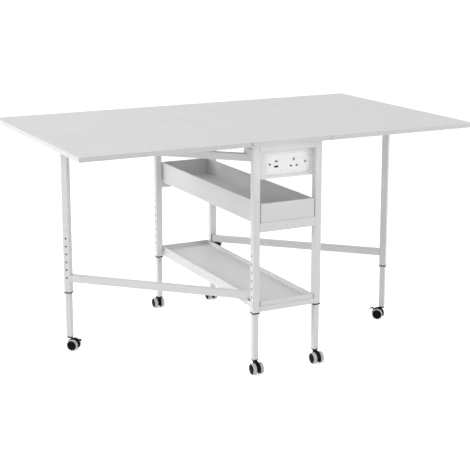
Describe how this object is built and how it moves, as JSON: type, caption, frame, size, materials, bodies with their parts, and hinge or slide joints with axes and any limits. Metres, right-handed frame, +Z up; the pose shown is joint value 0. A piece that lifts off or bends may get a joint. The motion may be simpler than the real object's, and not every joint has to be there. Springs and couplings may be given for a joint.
{
  "type": "folding cutting table",
  "caption": "Folding sewing and cutting table on casters: fixed centre board, lifting leaves on swing-out gates, tray, shelf, power outlet and telescoping legs.",
  "frame": {"origin": "on the floor, under the middle of the work surface", "axes": "+X along the long side of the top, +Y away from the outlet end, +Z up"},
  "size_m": [1.5, 0.9, 0.814],
  "materials": {
    "laminate": "satin",
    "powder_coat": "satin",
    "sheet_coat": "satin",
    "black_plastic": "matte",
    "white_plastic": "gloss",
    "wheel_tyre": "matte",
    "zinc": "satin"
  },
  "bodies": {
    "frame": {"top_fixed": "laminate", "hinge_plates_fixed": "zinc", "hinge_pins": "zinc", "leg_near_left": "powder_coat", "leg_near_right": "powder_coat", "leg_far_left": "powder_coat", "leg_far_right": "powder_coat", "leg_collars": "black_plastic", "rail_top_near": "powder_coat", "rail_top_far": "powder_coat", "tray": "sheet_coat", "tray_rails": "powder_coat", "shelf": "sheet_coat", "shelf_rails": "powder_coat", "power_plate": "sheet_coat", "outlet_box": "black_plastic", "outlet_face": "white_plastic", "outlet_screws": "zinc", "gate_brackets": "powder_coat", "gate_blocks": "white_plastic", "gate_pins": "zinc", "frame_screws": "zinc"},
    "leaf_left": {"leaf_left": "laminate", "hinge_plates_left": "zinc"},
    "leaf_right": {"leaf_right": "laminate", "hinge_plates_right": "zinc"},
    "gate_left": {"gate_leg_left": "powder_coat", "gate_rail_low_left": "powder_coat", "gate_rail_top_left": "powder_coat", "gate_caps_left": "black_plastic"},
    "gate_right": {"gate_leg_right": "powder_coat", "gate_rail_low_right": "powder_coat", "gate_rail_top_right": "powder_coat", "gate_caps_right": "black_plastic"},
    "foot_near_left": {"foot_near_left": "powder_coat"},
    "button_near_left": {"snap_button_near_left": "zinc"},
    "caster_near_left": {"caster_hood_near_left": "black_plastic"},
    "wheels_near_left": {"caster_wheels_near_left": "wheel_tyre"},
    "foot_near_right": {"foot_near_right": "powder_coat"},
    "button_near_right": {"snap_button_near_right": "zinc"},
    "caster_near_right": {"caster_hood_near_right": "black_plastic"},
    "wheels_near_right": {"caster_wheels_near_right": "wheel_tyre"},
    "foot_far_left": {"foot_far_left": "powder_coat"},
    "button_far_left": {"snap_button_far_left": "zinc"},
    "caster_far_left": {"caster_hood_far_left": "black_plastic"},
    "wheels_far_left": {"caster_wheels_far_left": "wheel_tyre"},
    "foot_far_right": {"foot_far_right": "powder_coat"},
    "button_far_right": {"snap_button_far_right": "zinc"},
    "caster_far_right": {"caster_hood_far_right": "black_plastic"},
    "wheels_far_right": {"caster_wheels_far_right": "wheel_tyre"},
    "foot_gate_left": {"foot_gate_left": "powder_coat"},
    "button_gate_left": {"snap_button_gate_left": "zinc"},
    "caster_gate_left": {"caster_hood_gate_left": "black_plastic"},
    "wheels_gate_left": {"caster_wheels_gate_left": "wheel_tyre"},
    "lever_gate_left": {"brake_lever_gate_left": "black_plastic"},
    "foot_gate_right": {"foot_gate_right": "powder_coat"},
    "button_gate_right": {"snap_button_gate_right": "zinc"},
    "caster_gate_right": {"caster_hood_gate_right": "black_plastic"},
    "wheels_gate_right": {"caster_wheels_gate_right": "wheel_tyre"},
    "lever_gate_right": {"brake_lever_gate_right": "black_plastic"}
  },
  "joints": [
    {"name": "leaf_left_lift", "type": "hinge", "parent": "frame", "child": "leaf_left", "pos_m": [-0.151, 0, 0.7946], "axis": [0, 1, 0], "range_deg": [0, 4.5]},
    {"name": "leaf_right_lift", "type": "hinge", "parent": "frame", "child": "leaf_right", "pos_m": [0.151, 0, 0.7946], "axis": [0, -1, 0], "range_deg": [0, 4.5]},
    {"name": "gate_left_swing", "type": "hinge", "parent": "frame", "child": "gate_left", "pos_m": [-0.1195, -0.374, 0.5], "axis": [0, 0, 1], "range_deg": [-45, 0]},
    {"name": "gate_right_swing", "type": "hinge", "parent": "frame", "child": "gate_right", "pos_m": [0.1195, 0.374, 0.5], "axis": [0, 0, 1], "range_deg": [-45, 0]},
    {"name": "foot_near_left_slide", "type": "slide", "parent": "frame", "child": "foot_near_left", "axis": [0, 0, -1], "range_m": [0, 0.174]},
    {"name": "button_near_left_press", "type": "slide", "parent": "foot_near_left", "child": "button_near_left", "axis": [1, 0, 0], "range_m": [0, 0.0045], "stiffness_N_per_m": 800, "springref_m": -0.002},
    {"name": "caster_near_left_swivel", "type": "hinge", "parent": "foot_near_left", "child": "caster_near_left", "pos_m": [-0.1195, -0.4085, 0.04], "axis": [0, 0, 1], "continuous": true},
    {"name": "wheels_near_left_roll", "type": "hinge", "parent": "caster_near_left", "child": "wheels_near_left", "pos_m": [-0.1195, -0.4225, 0.02], "axis": [1, 0, 0], "continuous": true},
    {"name": "foot_near_right_slide", "type": "slide", "parent": "frame", "child": "foot_near_right", "axis": [0, 0, -1], "range_m": [0, 0.174]},
    {"name": "button_near_right_press", "type": "slide", "parent": "foot_near_right", "child": "button_near_right", "axis": [-1, 0, 0], "range_m": [0, 0.0045], "stiffness_N_per_m": 800, "springref_m": -0.002},
    {"name": "caster_near_right_swivel", "type": "hinge", "parent": "foot_near_right", "child": "caster_near_right", "pos_m": [0.1195, -0.4085, 0.04], "axis": [0, 0, 1], "continuous": true},
    {"name": "wheels_near_right_roll", "type": "hinge", "parent": "caster_near_right", "child": "wheels_near_right", "pos_m": [0.1195, -0.4225, 0.02], "axis": [1, 0, 0], "continuous": true},
    {"name": "foot_far_left_slide", "type": "slide", "parent": "frame", "child": "foot_far_left", "axis": [0, 0, -1], "range_m": [0, 0.174]},
    {"name": "button_far_left_press", "type": "slide", "parent": "foot_far_left", "child": "button_far_left", "axis": [1, 0, 0], "range_m": [0, 0.0045], "stiffness_N_per_m": 800, "springref_m": -0.002},
    {"name": "caster_far_left_swivel", "type": "hinge", "parent": "foot_far_left", "child": "caster_far_left", "pos_m": [-0.1195, 0.4085, 0.04], "axis": [0, 0, 1], "continuous": true},
    {"name": "wheels_far_left_roll", "type": "hinge", "parent": "caster_far_left", "child": "wheels_far_left", "pos_m": [-0.1195, 0.4225, 0.02], "axis": [-1, 0, 0], "continuous": true},
    {"name": "foot_far_right_slide", "type": "slide", "parent": "frame", "child": "foot_far_right", "axis": [0, 0, -1], "range_m": [0, 0.174]},
    {"name": "button_far_right_press", "type": "slide", "parent": "foot_far_right", "child": "button_far_right", "axis": [-1, 0, 0], "range_m": [0, 0.0045], "stiffness_N_per_m": 800, "springref_m": -0.002},
    {"name": "caster_far_right_swivel", "type": "hinge", "parent": "foot_far_right", "child": "caster_far_right", "pos_m": [0.1195, 0.4085, 0.04], "axis": [0, 0, 1], "continuous": true},
    {"name": "wheels_far_right_roll", "type": "hinge", "parent": "caster_far_right", "child": "wheels_far_right", "pos_m": [0.1195, 0.4225, 0.02], "axis": [-1, 0, 0], "continuous": true},
    {"name": "foot_gate_left_slide", "type": "slide", "parent": "gate_left", "child": "foot_gate_left", "axis": [0, 0, -1], "range_m": [0, 0.174]},
    {"name": "button_gate_left_press", "type": "slide", "parent": "foot_gate_left", "child": "button_gate_left", "axis": [0.7071, 0.7071, 0], "range_m": [0, 0.0045], "stiffness_N_per_m": 800, "springref_m": -0.002},
    {"name": "caster_gate_left_swivel", "type": "hinge", "parent": "foot_gate_left", "child": "caster_gate_left", "pos_m": [-0.60316, 0.10966, 0.04], "axis": [0, 0, 1], "continuous": true},
    {"name": "wheels_gate_left_roll", "type": "hinge", "parent": "caster_gate_left", "child": "wheels_gate_left", "pos_m": [-0.59326, 0.09976, 0.02], "axis": [0.7071, 0.7071, 0], "continuous": true},
    {"name": "lever_gate_left_press", "type": "hinge", "parent": "caster_gate_left", "child": "lever_gate_left", "pos_m": [-0.58336, 0.08986, 0.031], "axis": [0.7071, 0.7071, 0], "range_deg": [0, 18]},
    {"name": "foot_gate_right_slide", "type": "slide", "parent": "gate_right", "child": "foot_gate_right", "axis": [0, 0, -1], "range_m": [0, 0.174]},
    {"name": "button_gate_right_press", "type": "slide", "parent": "foot_gate_right", "child": "button_gate_right", "axis": [-0.7071, -0.7071, 0], "range_m": [0, 0.0045], "stiffness_N_per_m": 800, "springref_m": -0.002},
    {"name": "caster_gate_right_swivel", "type": "hinge", "parent": "foot_gate_right", "child": "caster_gate_right", "pos_m": [0.60316, -0.10966, 0.04], "axis": [0, 0, 1], "continuous": true},
    {"name": "wheels_gate_right_roll", "type": "hinge", "parent": "caster_gate_right", "child": "wheels_gate_right", "pos_m": [0.59326, -0.09976, 0.02], "axis": [-0.7071, -0.7071, 0], "continuous": true},
    {"name": "lever_gate_right_press", "type": "hinge", "parent": "caster_gate_right", "child": "lever_gate_right", "pos_m": [0.58336, -0.08986, 0.031], "axis": [-0.7071, -0.7071, 0], "range_deg": [0, 18]}
  ]
}
